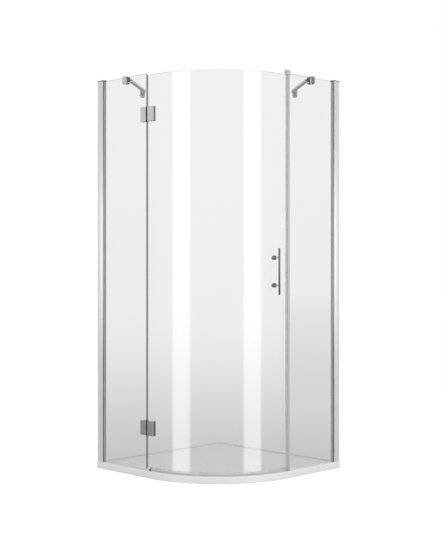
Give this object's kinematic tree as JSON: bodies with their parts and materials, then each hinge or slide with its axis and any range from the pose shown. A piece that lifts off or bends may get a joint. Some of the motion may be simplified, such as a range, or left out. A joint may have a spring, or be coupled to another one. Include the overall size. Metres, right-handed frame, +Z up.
{
  "type": "corner shower enclosure",
  "caption": "Corner shower enclosure: quadrant tray, flat fixed glass panels, curved hinged glass door with bar handle, wall channels and support arms to the walls.",
  "frame": {"origin": "centre of the tray's square footprint, on the tray's underside", "axes": "+Z up; the walls meet at -X +Y, the left wall is the plane at low X, the other wall the plane at high Y, and the curved front faces +X -Y"},
  "size_m": [0.9198, 0.9, 2.031],
  "materials": {
    "white_acrylic": "gloss white",
    "satin_aluminium": "bright anodised",
    "grey_aluminium": "satin anodised",
    "grey_plastic": "satin grey",
    "clear_glass": "polished toughened",
    "clear_seal": "clear soft plastic",
    "dark_seal": "soft grey",
    "white_strip": "gloss",
    "grey_rubber": "soft grey",
    "black_nylon": "moulded black",
    "white_nylon": "moulded white",
    "magnet_strip": "dull black",
    "steel": "stainless",
    "chrome": "polished"
  },
  "bodies": {
    "frame": {"arm_bracket_left": "chrome", "arm_bracket_right": "chrome", "arm_clamp_left": "chrome", "arm_clamp_pad_left": "grey_rubber", "arm_clamp_pad_right": "grey_rubber", "arm_clamp_right": "chrome", "arm_clamp_screws": "steel", "arm_ends_left": "chrome", "arm_ends_right": "chrome", "arm_pivot_pins": "steel", "arm_tube_left": "chrome", "arm_tube_right": "chrome", "channel_cap_left": "grey_plastic", "channel_cap_right": "grey_plastic", "channel_fixing_screws": "steel", "fixed_panel_left": "clear_glass", "fixed_panel_right": "clear_glass", "glass_channel_left": "satin_aluminium", "glass_channel_right": "satin_aluminium", "glass_set_screws": "steel", "glazing_gasket_left": "grey_rubber", "glazing_gasket_right": "grey_rubber", "hinge_fixed_bolts": "steel", "hinge_fixed_gaskets": "grey_rubber", "lower_hinge_fixed_back": "chrome", "lower_hinge_fixed_plate": "chrome", "lower_hinge_pin": "steel", "lower_hinge_pivot_blocks": "black_nylon", "panel_foot_seal_left": "clear_seal", "panel_foot_seal_right": "clear_seal", "shower_tray": "white_acrylic", "strike_cap": "grey_plastic", "strike_foot": "grey_plastic", "strike_magnet": "magnet_strip", "strike_profile": "grey_aluminium", "threshold_strip": "white_strip", "upper_hinge_fixed_back": "chrome", "upper_hinge_fixed_plate": "chrome", "upper_hinge_pin": "steel", "upper_hinge_pivot_blocks": "black_nylon", "wall_channel_left": "satin_aluminium", "wall_channel_right": "satin_aluminium"},
    "door": {"door_panel": "clear_glass", "upper_hinge_door_plate": "chrome", "lower_hinge_door_plate": "chrome", "upper_hinge_door_back": "chrome", "lower_hinge_door_back": "chrome", "hinge_door_gaskets": "grey_rubber", "hinge_door_bolts": "steel", "hinge_bushes": "white_nylon", "hinge_knuckles": "black_nylon", "door_hinge_seal": "dark_seal", "door_close_seal": "clear_seal", "door_magnet": "magnet_strip", "door_sweep": "clear_seal", "handle_bar": "chrome", "handle_posts": "chrome", "handle_caps": "chrome", "handle_washers": "grey_rubber"},
    "cover": {"waste_cover": "white_acrylic"}
  },
  "joints": [
    {"name": "door_swing", "type": "hinge", "parent": "frame", "child": "door", "pos_m": [-0.062, -0.44045, 1], "axis": [0, 0, -1], "range_deg": [0, 100]},
    {"name": "waste_cover_lift", "type": "slide", "parent": "frame", "child": "cover", "axis": [0, 0, 1], "range_m": [0, 0.1]}
  ]
}
